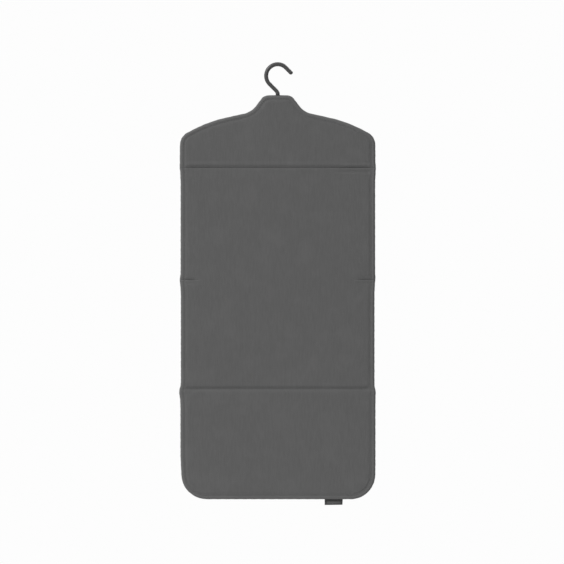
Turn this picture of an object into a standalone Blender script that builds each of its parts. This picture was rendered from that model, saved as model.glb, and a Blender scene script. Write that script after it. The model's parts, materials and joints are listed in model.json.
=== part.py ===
"""A pressing board that hangs from a swivel hook and folds into four padded sections.

Metres, +Z up. The board hangs in the XZ plane with its pressing side towards -Y.
The origin is where the hook rests on its peg, under the middle of its bend.
"""

import math

import bmesh
import bpy
from mathutils import Matrix, Vector

# Board outline
HALF_WIDTH = 0.2203
HEAD_HEIGHT = 0.1645
PANEL_HEIGHT = 0.2505
FOOT_HEIGHT = 0.2495
BOARD_TOP = -0.0645
FOLD_UPPER = BOARD_TOP - HEAD_HEIGHT
FOLD_MIDDLE = FOLD_UPPER - PANEL_HEIGHT
FOLD_LOWER = FOLD_MIDDLE - PANEL_HEIGHT
BOARD_BOTTOM = FOLD_LOWER - FOOT_HEIGHT
LEFT_FOOT_RADIUS = 0.061
RIGHT_FOOT_RADIUS = 0.055
LEAST_RADIUS = 0.0004

# Right half of the hanger-shaped head: distance from the middle, depth below the top, rounding radius
# and arc steps. They are the crown, the neck's corner, the neck's hollow, the shoulder and its corner.
HEAD_CORNERS = (
    (0.0000, 0.0000, 0.350, 2),
    (0.0314, 0.0016, 0.014, 5),
    (0.0594, 0.0388, 0.047, 5),
    (0.1545, 0.0599, 0.300, 4),
    (HALF_WIDTH, 0.0935, 0.030, 6),
    (HALF_WIDTH, HEAD_HEIGHT, 0.0, 0),
)

# Layers through the thickness, front (-Y) to back (+Y)
FRONT_FACE = -0.0060
BACK_FACE = 0.0058
CLOTH = 0.0010
FOAM_FRONT, FOAM_BACK = -0.0044, 0.0012
CORE_FRONT, CORE_BACK = 0.0015, 0.0042
LAYER_INSET = 0.0160
LAYER_FOLD_INSET = 0.0050

# Each cover's outer face, from its flat edge inwards: inset from the outer edge, inset from a fold,
# and the share of the way from the middle plane to the face
COVER_SECTION = (
    (0.0024, 0.0030, 0.30),
    (0.0110, 0.0030, 0.33),
    (0.0125, 0.0030, 0.52),
    (0.0145, 0.0034, 0.87),
    (0.0175, 0.0050, 1.00),
)
COVER_LEAN = 0.0006

# Binding folded over the outer edge
BINDING_WIDTH = 0.0110
BINDING_THICKNESS = 0.0009
BINDING_OUTSIDE = 0.0032
BINDING_END = 0.0005
BEND_STEPS = 4

# Hinge strips of the folds
STRIP_HALF_HEIGHT = 0.0026
STRIP_THICKNESS = 0.0008
STRIP_END = 0.0135
HINGE_CLEARANCE = 0.0005

# Hook
BEND_RADIUS = 0.0261
ROD_RADIUS = 0.0020
SLEEVE_RADIUS = 0.00465
SLEEVE_BORE = 0.0023
SLEEVE_TIP = 0.0030
TIP_LENGTH = 0.0158
NECK_BEND_RADIUS = 0.012
BEND_STATIONS = 18
ROD_END = BOARD_TOP - 0.0430
TIP_FIT = 0.995
EXIT_RADIUS = 0.0022
EXIT_RISE = 0.0030
EXIT_DEPTH = 0.0210

# Swivel in the neck
BLOCK_SIZE = (0.0180, 0.0084, 0.0200)
BLOCK_TOP = BOARD_TOP - 0.0175
BLOCK_BORE = 0.00206
FLANGE_SIZE = (0.0440, 0.0024, 0.0120)
FLANGE_Z = BOARD_TOP - 0.0310
COLLAR_RADIUS = 0.0042
COLLAR_HEIGHT = 0.0040
RIVET_X = 0.0155
RIVET_RADIUS = 0.0016
RIVET_HOLE = 0.0019
RIVET_HEAD_RADIUS = 0.0030
RIVET_HEAD = 0.0010
NOTCH_BOTTOM = BOARD_TOP - 0.0460
POCKET_DEPTH = 0.0060
THROUGH = 0.0300
OVERLAP = 0.0001
GAP = 0.0003

# Label under the lower edge
LABEL_X = 0.1270
LABEL_SIZE = (0.0415, 0.0008, 0.0220)
LABEL_DROP = 0.0130

PIN_STEPS = 24

for item in list(bpy.data.objects):
    bpy.data.objects.remove(item, do_unlink=True)


def collection(name, hidden=False):
    group = bpy.data.collections.new(name)
    bpy.context.scene.collection.children.link(group)
    group.hide_render = hidden
    return group


BOARD = collection("pressing_board")
CUTTERS = collection("cutters", hidden=True)


def material(name, colour, roughness, metallic=0.0):
    made = bpy.data.materials.new(name)
    made.use_nodes = True
    shader = made.node_tree.nodes["Principled BSDF"]
    shader.inputs["Base Color"].default_value = (*colour, 1.0)
    shader.inputs["Roughness"].default_value = roughness
    shader.inputs["Metallic"].default_value = metallic
    return made


def place(name, data, group=BOARD, colour=(0.5, 0.5, 0.5), roughness=0.6, metallic=0.0):
    """Adds an object with a material of its own, or a wire-drawn cutter with none."""
    made = bpy.data.objects.new(name, data)
    group.objects.link(made)
    if group is CUTTERS:
        made.hide_render = True
        made.display_type = "WIRE"
    else:
        data.materials.append(material(name, colour, roughness, metallic))
    return made


def mesh_of(name, shape):
    bmesh.ops.recalc_face_normals(shape, faces=shape.faces)
    mesh = bpy.data.meshes.new(name)
    shape.to_mesh(mesh)
    shape.free()
    return mesh


def smooth(made, degrees=40):
    made.data.shade_smooth()
    made.data.set_sharp_from_angle(angle=math.radians(degrees))


def boolean(made, other, operation="DIFFERENCE"):
    cut = made.modifiers.new(other.name, "BOOLEAN")
    cut.operation = operation
    cut.solver = "EXACT"
    cut.object = other


def box(name, centre, size, **look):
    shape = bmesh.new()
    bmesh.ops.create_cube(shape, size=1.0)
    bmesh.ops.scale(shape, vec=size, verts=shape.verts)
    bmesh.ops.translate(shape, vec=centre, verts=shape.verts)
    return place(name, mesh_of(name, shape), **look)


def cylinder(name, centre, radius, length, axis="Z", **look):
    turns = {"Y": Matrix.Rotation(math.radians(90), 4, "X"), "Z": Matrix.Identity(4)}
    shape = bmesh.new()
    bmesh.ops.create_cone(
        shape, cap_ends=True, segments=PIN_STEPS, radius1=radius, radius2=radius, depth=length
    )
    bmesh.ops.transform(shape, matrix=Matrix.Translation(centre) @ turns[axis], verts=shape.verts)
    return place(name, mesh_of(name, shape), **look)


def crossing(point_a, along_a, point_b, along_b):
    """Where two lines in the plane meet."""
    turn = along_a.x * along_b.y - along_a.y * along_b.x
    between = point_b - point_a
    return point_a + along_a * ((between.x * along_b.y - between.y * along_b.x) / turn)


def rounded(before, corner, after, radius, steps):
    """Points of the arc that rounds one corner, or the corner itself where it is sharp."""
    if not steps:
        return [corner]
    to_before = (before - corner).normalized()
    to_after = (after - corner).normalized()
    half = to_before.angle(to_after) / 2
    centre = corner + (to_before + to_after).normalized() * (radius / math.sin(half))
    first = corner + to_before * (radius / math.tan(half)) - centre
    sweep = math.pi - 2 * half
    if to_before.x * to_after.y - to_before.y * to_after.x > 0:
        sweep = -sweep
    turned = []
    for step in range(steps + 1):
        angle = sweep * step / steps
        turned.append(centre + Matrix.Rotation(angle, 2) @ first)
    return turned


def outline(corners, insets):
    """The rounded outline of (x, z, radius, steps) corners, each edge moved inwards by its own inset.

    The corners run anticlockwise as seen from the front. insets[i] belongs to the edge that leaves
    corner i. A rounding keeps its centre, so its radius changes by the inset.
    """
    count = len(corners)
    points = [Vector(corner[:2]) for corner in corners]
    along = [(points[(i + 1) % count] - points[i]).normalized() for i in range(count)]
    moved = [points[i] + Vector((-along[i].y, along[i].x)) * insets[i] for i in range(count)]
    sharp = [crossing(moved[i - 1], along[i - 1], moved[i], along[i]) for i in range(count)]
    ring = []
    for i, (_, _, radius, steps) in enumerate(corners):
        hollow = along[i - 1].x * along[i].y - along[i - 1].y * along[i].x < 0
        radius = radius + insets[i] if hollow else max(radius - insets[i], LEAST_RADIUS)
        ring += rounded(sharp[i - 1], sharp[i], sharp[(i + 1) % count], radius, steps)
    return ring


def head_shape():
    """Corners of the head section and, for each edge, whether it is a fold. It starts at the fold."""
    right = [(x, BOARD_TOP - depth, radius, steps) for x, depth, radius, steps in HEAD_CORNERS]
    left = [(-x, z, radius, steps) for x, z, radius, steps in right[1:]]
    corners = [left[-1]] + right[:0:-1] + right[:1] + left[:-1]
    return corners, [True] + [False] * (len(corners) - 1)


def middle_shape(top):
    bottom = top - PANEL_HEIGHT
    corners = [
        (-HALF_WIDTH, bottom, 0.0, 0),
        (HALF_WIDTH, bottom, 0.0, 0),
        (HALF_WIDTH, top, 0.0, 0),
        (-HALF_WIDTH, top, 0.0, 0),
    ]
    return corners, [True, False, True, False]


def foot_shape():
    corners = [
        (HALF_WIDTH, FOLD_LOWER, 0.0, 0),
        (-HALF_WIDTH, FOLD_LOWER, 0.0, 0),
        (-HALF_WIDTH, BOARD_BOTTOM, LEFT_FOOT_RADIUS, 8),
        (HALF_WIDTH, BOARD_BOTTOM, RIGHT_FOOT_RADIUS, 8),
    ]
    return corners, [True, False, False, False]


def inset_outline(shape, inset, fold_inset):
    corners, folds = shape
    return outline(corners, [fold_inset if fold else inset for fold in folds])


def slab(name, shape, inset, fold_inset, front, back, **look):
    """A flat layer of a section: a filled 2D curve, extruded through the thickness."""
    ring = inset_outline(shape, inset, fold_inset)
    curve = bpy.data.curves.new(name, "CURVE")
    curve.dimensions = "2D"
    curve.fill_mode = "BOTH"
    curve.extrude = (back - front) / 2
    line = curve.splines.new("POLY")
    line.points.add(len(ring) - 1)
    for point, place_at in zip(line.points, ring):
        point.co = (place_at.x, place_at.y, 0.0, 1.0)
    line.use_cyclic_u = True
    made = bpy.data.objects.new(name, curve)
    made.matrix_world = Matrix.Translation((0, (front + back) / 2, 0)) @ Matrix.Rotation(
        math.radians(90), 4, "X"
    )
    return as_mesh(made, name, **look)


def as_mesh(guide, name, **look):
    """Turns a curve object into a mesh object with its caps joined on, and removes the curve."""
    BOARD.objects.link(guide)
    bpy.context.view_layer.update()
    evaluated = guide.evaluated_get(bpy.context.evaluated_depsgraph_get())
    mesh = bpy.data.meshes.new_from_object(evaluated)
    mesh.transform(guide.matrix_world)
    mesh.name = name
    bpy.data.objects.remove(guide, do_unlink=True)
    shape = bmesh.new()
    shape.from_mesh(mesh)
    bmesh.ops.remove_doubles(shape, verts=shape.verts, dist=1e-6)
    bmesh.ops.recalc_face_normals(shape, faces=shape.faces)
    shape.to_mesh(mesh)
    shape.free()
    return place(name, mesh, **look)


def loft(rings, closed):
    """Faces between rings of (x, y, z) points that match one to one, open or closed round."""
    shape = bmesh.new()
    rows = [[shape.verts.new(point) for point in ring] for ring in rings]
    count = len(rows[0])
    for row, following in zip(rows, rows[1:]):
        for i in range(count if closed else count - 1):
            j = (i + 1) % count
            shape.faces.new((row[i], row[j], following[j], following[i]))
    return shape, rows


def cover(name, shape, face, **look):
    """A cloth cover: flat at the outer edge, raised over the padding, open towards the inside."""
    outside = [(inset, fold_inset, abs(face) * share) for inset, fold_inset, share in COVER_SECTION]
    inside = [
        (inset + COVER_LEAN * (inset > outside[0][0]), fold_inset + CLOTH, height - CLOTH)
        for inset, fold_inset, height in outside
    ]
    rings = []
    for inset, fold_inset, height in inside[::-1] + outside:
        ring = inset_outline(shape, inset, fold_inset)
        rings.append([(point.x, math.copysign(height, face), point.y) for point in ring])
    solid, rows = loft(rings, closed=True)
    solid.faces.new(rows[0])
    solid.faces.new(rows[-1])
    return place(name, mesh_of(name, solid), **look)


def binding(name, shape, first, last, **look):
    """Cloth tape folded over the outer edge, along the edges from corner first to corner last."""
    corners, folds = shape
    middle = BINDING_OUTSIDE - BINDING_THICKNESS / 2
    section = [(BINDING_WIDTH, -middle)]
    for step in range(BEND_STEPS + 1):
        angle = math.pi * step / BEND_STEPS
        section.append((middle * (1 - math.sin(angle)) + BINDING_THICKNESS / 2, -middle * math.cos(angle)))
    section.append((BINDING_WIDTH, middle))
    rings = []
    for inset, y in section:
        insets = [BINDING_END if fold else inset for fold in folds]
        kept = []
        for i in range(first, last + 1):
            kept += corner_points(corners, insets, i % len(corners))
        rings.append([(point.x, y, point.y) for point in kept])
    surface, _ = loft(rings, closed=False)
    made = place(name, mesh_of(name, surface), **look)
    thick = made.modifiers.new("tape", "SOLIDIFY")
    thick.thickness = BINDING_THICKNESS
    thick.offset = 0.0
    thick.use_even_offset = True
    smooth(made)
    return made


def corner_points(corners, insets, index):
    """The part of an inset outline that belongs to one of its corners."""
    ring = outline(corners, insets)
    before = sum(steps + 1 for _, _, _, steps in corners[:index])
    return ring[before : before + corners[index][3] + 1]


def hook_line():
    """Centre line of the hook, from its tip round the bend and down into the neck."""
    centre = Vector((0.0, SLEEVE_RADIUS - BEND_RADIUS))
    diagonal = Vector((math.sqrt(0.5), -math.sqrt(0.5)))
    arc = []
    for step in range(BEND_STATIONS + 1):
        angle = math.radians(45 + 180 * step / BEND_STATIONS)
        arc.append(centre + Vector((math.cos(angle), math.sin(angle))) * BEND_RADIUS)
    tip = arc[0] + diagonal * TIP_LENGTH
    corner = Vector((0.0, centre.y - BEND_RADIUS * math.sqrt(2)))
    neck = rounded(arc[-1], corner, Vector((0.0, ROD_END)), NECK_BEND_RADIUS, 5)
    return [tip] + arc + neck + [Vector((0.0, ROD_END))]


def wire(name, line, radius, sides, **look):
    """A round rod along a line in the XZ plane, as a curve with filled ends made a mesh."""
    curve = bpy.data.curves.new(name, "CURVE")
    curve.dimensions = "3D"
    curve.bevel_depth = radius
    curve.bevel_resolution = sides
    curve.use_fill_caps = True
    spline = curve.splines.new("POLY")
    spline.points.add(len(line) - 1)
    for point, place_at in zip(spline.points, line):
        point.co = (place_at.x, 0.0, place_at.y, 1.0)
    return as_mesh(bpy.data.objects.new(name, curve), name, **look)


def make_hook():
    line = hook_line()
    steel = {"colour": (0.42, 0.42, 0.43), "roughness": 0.35, "metallic": 1.0}
    soft = {"colour": (0.055, 0.055, 0.058), "roughness": 0.55}
    along = (line[1] - line[0]).normalized()
    rod = wire("hook_rod", [line[0] + along * SLEEVE_TIP] + line[1:], ROD_RADIUS, 4, **steel)
    smooth(rod)

    sleeve_end = Vector((0.0, BOARD_TOP + GAP))
    sleeve = wire("hook_sleeve", line[:-1] + [sleeve_end], SLEEVE_RADIUS, 4, **soft)
    shape = bmesh.new()
    bmesh.ops.create_uvsphere(shape, u_segments=20, v_segments=12, radius=SLEEVE_RADIUS * TIP_FIT)
    bmesh.ops.translate(shape, vec=(line[0].x, 0.0, line[0].y), verts=shape.verts)
    tip = place("hook_tip", mesh_of("hook_tip", shape), CUTTERS)
    bore_start = line[0] + along * (SLEEVE_TIP - GAP)
    bore_end = Vector((0.0, BOARD_TOP - GAP * 4))
    bore = wire("hook_bore", [bore_start] + line[1:-1] + [bore_end], SLEEVE_BORE, 4, group=CUTTERS)
    boolean(sleeve, tip, "UNION")
    boolean(sleeve, bore)
    smooth(sleeve)

    collar_z = BLOCK_TOP - BLOCK_SIZE[2] - GAP - COLLAR_HEIGHT / 2
    collar = cylinder("hook_collar", (0, 0, collar_z), COLLAR_RADIUS, COLLAR_HEIGHT, **steel)
    collar_bore = cylinder("collar_bore", (0, 0, collar_z), SLEEVE_BORE, THROUGH, group=CUTTERS)
    boolean(collar, collar_bore)
    smooth(collar)


def make_swivel_block():
    """The block in the neck that the rod turns in, its flange, and the rivets through the core."""
    width, depth, height = BLOCK_SIZE
    block_z = BLOCK_TOP - height / 2
    plastic = {"colour": (0.08, 0.08, 0.085), "roughness": 0.45}
    block = box("neck_block", (0, 0, block_z), BLOCK_SIZE, **plastic)
    flange = box("block_flange", (0, 0, FLANGE_Z), FLANGE_SIZE, group=CUTTERS)
    bore = cylinder("block_bore", (0, 0, block_z), BLOCK_BORE, THROUGH, group=CUTTERS)
    boolean(block, flange, "UNION")
    boolean(block, bore)
    head_back = -FLANGE_SIZE[1] / 2 - GAP
    shank_middle = (head_back + CORE_BACK) / 2
    for side, sign in (("left", -1), ("right", 1)):
        hole = cylinder(
            f"rivet_hole_{side}",
            (sign * RIVET_X, shank_middle, FLANGE_Z),
            RIVET_HOLE,
            THROUGH,
            axis="Y",
            group=CUTTERS,
        )
        boolean(block, hole)
        boolean(bpy.data.objects["head_core"], hole)
        rivet = cylinder(
            f"neck_rivet_{side}",
            (sign * RIVET_X, shank_middle, FLANGE_Z),
            RIVET_RADIUS,
            CORE_BACK - head_back,
            axis="Y",
            colour=(0.6, 0.6, 0.6),
            roughness=0.3,
            metallic=1.0,
        )
        head = cylinder(
            f"rivet_head_{side}",
            (sign * RIVET_X, head_back - RIVET_HEAD / 2 + OVERLAP, FLANGE_Z),
            RIVET_HEAD_RADIUS,
            RIVET_HEAD,
            axis="Y",
            group=CUTTERS,
        )
        boolean(rivet, head, "UNION")
        smooth(rivet)


def make_neck_notches():
    """Room in the head's layers for the rod, the block with its flange, and the collar."""
    half = BLOCK_SIZE[0] / 2 + GAP
    height = BOARD_TOP - NOTCH_BOTTOM
    middle = (BOARD_TOP + NOTCH_BOTTOM) / 2
    notch = box("block_notch", (0, 0, middle), (half * 2, THROUGH, height), group=CUTTERS)
    pocket_size = (FLANGE_SIZE[0] + 2 * GAP, POCKET_DEPTH, FLANGE_SIZE[2] + 2 * GAP)
    pocket = box("flange_pocket", (0, 0, FLANGE_Z), pocket_size, group=CUTTERS)
    boolean(bpy.data.objects["head_core"], notch)
    boolean(bpy.data.objects["head_padding"], notch)
    boolean(bpy.data.objects["head_padding"], pocket)
    exit_middle = BOARD_TOP + (EXIT_RISE - EXIT_DEPTH) / 2
    exit_hole = cylinder(
        "rod_exit", (0, 0, exit_middle), EXIT_RADIUS, EXIT_RISE + EXIT_DEPTH, group=CUTTERS
    )
    for name in ("head_front_cover", "head_back_cover", "head_edge_binding"):
        boolean(bpy.data.objects[name], exit_hole)


def make_section(name, shape):
    """The four layers of one section."""
    cloth = {"colour": (0.11, 0.11, 0.113), "roughness": 0.9}
    slab(
        f"{name}_core", shape, LAYER_INSET, LAYER_FOLD_INSET, CORE_FRONT, CORE_BACK,
        colour=(0.36, 0.27, 0.18), roughness=0.8,
    )
    slab(
        f"{name}_padding", shape, LAYER_INSET, LAYER_FOLD_INSET, FOAM_FRONT, FOAM_BACK,
        colour=(0.75, 0.75, 0.72), roughness=0.95,
    )
    cover(f"{name}_front_cover", shape, FRONT_FACE, **cloth)
    cover(f"{name}_back_cover", shape, BACK_FACE, **cloth)


def make_hinge_strip(name, z, face):
    """The strip of cloth that joins two sections, in the gap between them on the side of one face."""
    inner = face - math.copysign(STRIP_THICKNESS, face)
    size = (2 * (HALF_WIDTH - STRIP_END), STRIP_THICKNESS, 2 * STRIP_HALF_HEIGHT)
    box(name, (0, (face + inner) / 2, z), size, colour=(0.09, 0.09, 0.093), roughness=0.9)


def make_label():
    width, thickness, height = LABEL_SIZE
    y = BINDING_OUTSIDE + GAP + thickness / 2
    z = BOARD_BOTTOM - LABEL_DROP + height / 2
    box("label", (LABEL_X, y, z), LABEL_SIZE, colour=(0.03, 0.03, 0.03), roughness=0.8)


def make_joint_axes():
    """An empty on each joint's axis, with the pieces of the body that it moves under it."""
    front_pivot = FRONT_FACE - HINGE_CLEARANCE
    back_pivot = BACK_FACE + HINGE_CLEARANCE
    parent = None
    for prefix, location in (
        ("head", (0, 0, BOARD_TOP)),
        ("upper", (0, front_pivot, FOLD_UPPER)),
        ("middle", (0, back_pivot, FOLD_MIDDLE)),
        ("lower", (0, front_pivot, FOLD_LOWER)),
    ):
        axis = bpy.data.objects.new(f"{prefix}_axis", None)
        BOARD.objects.link(axis)
        axis.location = Vector(location) - (parent.matrix_world.translation if parent else Vector())
        axis.parent = parent
        bpy.context.view_layer.update()
        for made in BODY_PIECES[prefix]:
            made.parent = axis
            made.matrix_parent_inverse = axis.matrix_world.inverted()
        parent = axis


def pieces_made_by(make):
    """Runs make and returns the board's objects that it added."""
    before = set(BOARD.objects)
    make()
    return [made for made in BOARD.objects if made not in before]


TAPE = {"colour": (0.13, 0.13, 0.133), "roughness": 0.85}


def make_head():
    shape = head_shape()
    make_section("head", shape)
    binding("head_edge_binding", shape, 1, len(shape[0]), **TAPE)
    make_swivel_block()
    make_neck_notches()
    make_hinge_strip("fold_upper_strip", FOLD_UPPER, FRONT_FACE)


def make_upper():
    shape = middle_shape(FOLD_UPPER)
    make_section("upper", shape)
    binding("upper_binding_right", shape, 1, 2, **TAPE)
    binding("upper_binding_left", shape, 3, 4, **TAPE)
    make_hinge_strip("fold_middle_strip", FOLD_MIDDLE, BACK_FACE)


def make_middle():
    shape = middle_shape(FOLD_MIDDLE)
    make_section("middle", shape)
    binding("middle_binding_right", shape, 1, 2, **TAPE)
    binding("middle_binding_left", shape, 3, 4, **TAPE)
    make_hinge_strip("fold_lower_strip", FOLD_LOWER, FRONT_FACE)


def make_lower():
    shape = foot_shape()
    make_section("lower", shape)
    binding("lower_edge_binding", shape, 1, 4, **TAPE)
    make_label()


make_hook()
BODY_PIECES = {
    "head": pieces_made_by(make_head),
    "upper": pieces_made_by(make_upper),
    "middle": pieces_made_by(make_middle),
    "lower": pieces_made_by(make_lower),
}
make_joint_axes()
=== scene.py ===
"""Looks of the hanging pressing board: woven covers over padding, bound and stitched edges, soft hook.

Metres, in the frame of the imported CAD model. The front faces -Y.
"""

import json
import math

import bmesh
import bpy
import numpy as np
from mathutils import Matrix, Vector


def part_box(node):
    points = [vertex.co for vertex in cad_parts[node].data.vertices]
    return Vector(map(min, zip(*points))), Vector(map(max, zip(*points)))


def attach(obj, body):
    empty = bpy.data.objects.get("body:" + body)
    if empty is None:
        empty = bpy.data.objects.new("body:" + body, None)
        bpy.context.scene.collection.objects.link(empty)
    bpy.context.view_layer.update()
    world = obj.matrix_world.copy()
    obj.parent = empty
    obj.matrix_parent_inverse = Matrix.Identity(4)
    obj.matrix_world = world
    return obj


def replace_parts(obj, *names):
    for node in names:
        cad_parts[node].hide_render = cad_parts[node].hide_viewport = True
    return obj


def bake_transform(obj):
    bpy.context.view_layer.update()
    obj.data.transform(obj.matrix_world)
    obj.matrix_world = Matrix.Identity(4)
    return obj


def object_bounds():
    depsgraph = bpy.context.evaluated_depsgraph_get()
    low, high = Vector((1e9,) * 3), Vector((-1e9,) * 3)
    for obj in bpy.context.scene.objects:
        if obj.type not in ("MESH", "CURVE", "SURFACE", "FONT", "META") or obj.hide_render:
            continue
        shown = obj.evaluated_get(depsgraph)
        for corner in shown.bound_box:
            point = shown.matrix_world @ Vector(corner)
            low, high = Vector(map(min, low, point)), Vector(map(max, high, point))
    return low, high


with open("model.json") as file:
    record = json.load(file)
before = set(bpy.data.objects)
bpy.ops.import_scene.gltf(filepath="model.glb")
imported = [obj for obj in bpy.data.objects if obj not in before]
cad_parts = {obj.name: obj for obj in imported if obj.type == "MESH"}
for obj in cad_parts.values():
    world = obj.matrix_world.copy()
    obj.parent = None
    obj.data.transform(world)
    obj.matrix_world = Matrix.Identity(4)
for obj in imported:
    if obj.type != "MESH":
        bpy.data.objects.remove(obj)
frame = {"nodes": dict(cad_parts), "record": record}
CAD_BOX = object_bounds()

# ---------------------------------------------------------------- sizes read from the frame
FOLD_NAMES = ("fold_upper", "fold_middle", "fold_lower")
JOINTS = {joint["name"]: joint for joint in frame["record"]["behaviour"]["joints"]}
FOLDS = [JOINTS[name]["pos_m"][2] for name in FOLD_NAMES]
HALF_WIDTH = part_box("head_edge_binding")[1][0]
TOP = JOINTS["hook_swivel"]["pos_m"][2]
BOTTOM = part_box("lower_edge_binding")[0][2]
SLEEVE_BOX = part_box("hook_sleeve")
LABEL_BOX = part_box("label")

FRONT, BACK = -1.0, 1.0
SECTIONS = ("head", "upper", "middle", "lower")
BODIES = {name: f"{name}_section" for name in SECTIONS}
# The side on which a row of stitches sews the covers together along each fold
SEWN_SIDES = {"fold_upper": FRONT, "fold_middle": BACK, "fold_lower": FRONT}

# ---------------------------------------------------------------- the board's outline, seen from the front
# The head's left corners, from its side to its crown: distance from the middle, depth under the top,
# rounding radius
HEAD_CORNERS = (
    (HALF_WIDTH, 0.0935, 0.030),
    (0.1545, 0.0599, 0.300),
    (0.0594, 0.0388, 0.047),
    (0.0314, 0.0016, 0.014),
)
CROWN_RADIUS = 0.350
LEFT_FOOT_RADIUS = 0.061
RIGHT_FOOT_RADIUS = 0.055
LEAST_RADIUS = 0.003

# How far the soft sides stand out of the straight outline in the four sections, from the top down
LEFT_EASES = (0.0012, -0.0006, -0.0011, -0.0002)
RIGHT_EASES = (0.0008, 0.0002, -0.0013, 0.0009)
# Lengths over which this changes at a fold and fades out at the shoulder and at the foot
EASE_CHANGE = 0.020
EASE_AT_SHOULDER = 0.050
EASE_AT_FOOT = 0.060
# How much farther they stand out round the three folds, and the place of that from the fold and its
# reach above and below
LEFT_PUFFS = (0.0012, 0.0022, 0.0028)
RIGHT_PUFFS = (0.0014, 0.0015, 0.0006)
PUFF = (-0.003, 0.009, 0.019)
# How the left side draws in as it nears its lower corner: amount, height over the lower edge, and
# reach above and below
LEFT_CORNER = (-0.0020, 0.0525, 0.030, 0.018)

# ---------------------------------------------------------------- build of the cloth
CLOTH = 0.0009
# Distances in from the outline: rim of the pad's flat, seam of the covers, inner edge of the tape and
# its row of stitches, and the rings of points between rim and seam
PAD_INSET = 0.017
SEAM_INSET = 0.0102
TAPE_WIDTH = 0.0099
STITCH_INSET = 0.0083
RIM_INSETS = (0.0159, 0.0149, 0.0139, 0.0130, 0.0121, 0.0113, 0.0107, 0.0102, 0.0096, 0.0080)
# Heights over the middle plane
SEAM_HEIGHT = 0.0045
COVER_HEIGHT = 0.0051
STITCH_HEIGHT = 0.00462
# The slope from the seam up to the pad's flat, and the faint crest at its top: height and reach inwards
# and outwards
PAD_SLOPE = 0.0042
CREST = (0.00014, 0.0026, 0.0014)
# The band of cloth that bends from one section to the next reaches this far to each side of a fold
FOLD_ZONE = 0.015
# Its rows of points, as distances from the fold: close together for the creases, or even for the
# simulation
ZONE_ROWS = (0, 0.0005, 0.0010, 0.0013, 0.0019, 0.0028, 0.0040, 0.0044, 0.0058, 0.0080, 0.0110, FOLD_ZONE)
EVEN_ZONE_ROWS = (0.0, 0.0050, 0.0100, FOLD_ZONE)
# Grid of the covers: columns across the board, rows in each kind of section, and how much closer
# together the rim's points lie where the outline turns
COLUMNS = 110
HEAD_ROWS = 26
PANEL_ROWS = 44
FOOT_ROWS = 46
TURN_WEIGHT = 0.020
TAPE_STEPS = 3
SHARP = math.radians(60)

# The cloth simulation. Cloth nearer to the outline than SEWN_INSET is sewn down, and no point moves
# farther than its side's cap
SEWN_INSET = 0.0128
SWELL_CAPS = {FRONT: 0.0005, BACK: 0.0004}
SWELL_PRESSURE = 4.0
SWELL_SLACK = 0.004
SWELL_FRAMES = 20
CLOTH_MASS = 0.05

# ---------------------------------------------------------------- folds and creases
# Each is a depth, a place from its fold, and a reach above and below. A negative depth stands proud
UPPER_TUCK = (0.0016, -0.0010, 0.0031, 0.0002)
UPPER_LIP = (-0.0009, 0.0072, 0.0042, 0.0046)
RIGHT_CREASES = ((0.0010, 0.0095, 0.0030, 0.0025), (0.0013, -0.0106, 0.0040, 0.0020))
MIDDLE_TUCK = (0.0026, -0.0040, 0.0062, 0.0003)
MIDDLE_HOLLOW = (0.0010, -0.0120, 0.0035, 0.0016)
LOWER_HOLLOW = (0.0023, -0.0003, 0.0056, 0.0044)
LOWER_RISE = (-0.0004, 0.0075, 0.0028, 0.0040)
BACK_HOLLOWS = ((0.0016, 0.0, 0.0040, 0.0040), (0.0034, 0.0, 0.0022, 0.0022), (0.0016, 0.0, 0.0040, 0.0040))
# The upper fold is deeper at its right end, and the lip over it stands out more at its left end
MORE_TUCK = 0.5
MORE_LIP = 5 / 9
# Where those ends start, and over what length they come in
LEFT_END = (0.110, 0.050)
RIGHT_END = (0.115, 0.045)
# How far in from the sides the front shows the middle fold
MIDDLE_REACH = 0.052
# How the folds pinch the tape: share of its height lost, place from the fold, reach above and below
TAPE_PINCHES = (
    (0.26, -0.0010, 0.0031, 0.0005),
    (0.38, -0.0040, 0.0062, 0.0006),
    (0.26, -0.0003, 0.0045, 0.0036),
)


# ---------------------------------------------------------------- outlines
def line_crossing(point_a, along_a, point_b, along_b):
    turn = along_a[0] * along_b[1] - along_a[1] * along_b[0]
    between = point_b - point_a
    return point_a + along_a * ((between[0] * along_b[1] - between[1] * along_b[0]) / turn)


def unit(vector):
    return vector / np.linalg.norm(vector)


def rounded_path(corners, inset):
    """Dense points of an open path with rounded corners, moved to its right-hand side by inset.

    corners are (x, z, radius), and the path runs clockwise round the board as seen from the front.
    """
    points = [np.array(corner[:2], float) for corner in corners]
    along = [unit(b - a) for a, b in zip(points, points[1:])]
    right = [np.array((a[1], -a[0])) for a in along]
    ends = [points[0] + right[0] * inset, points[-1] + right[-1] * inset]
    sharp = []
    for i in range(1, len(points) - 1):
        before, after = points[i] + right[i - 1] * inset, points[i] + right[i] * inset
        sharp.append(line_crossing(before, along[i - 1], after, along[i]))
    stops = [ends[0]] + sharp + [ends[1]]
    dense = [ends[0]]
    for i in range(1, len(stops) - 1):
        turn = along[i - 1][0] * along[i][1] - along[i - 1][1] * along[i][0]
        radius = corners[i][2] + inset if turn > 0 else max(corners[i][2] - inset, LEAST_RADIUS)
        sweep = math.asin(max(-1.0, min(1.0, turn)))
        length = radius * abs(math.tan(sweep / 2))
        start = stops[i] - along[i - 1] * length
        side = np.array((-along[i - 1][1], along[i - 1][0])) * math.copysign(radius, turn)
        centre = start + side
        dense += straight(dense[-1], start)
        steps = max(12, int(radius * abs(sweep) / 0.001))
        for step in range(1, steps + 1):
            angle = sweep * step / steps
            spin = np.array(((math.cos(angle), -math.sin(angle)), (math.sin(angle), math.cos(angle))))
            dense.append(centre + spin @ (start - centre))
    dense += straight(dense[-1], stops[-1])
    return np.array(dense)


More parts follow.
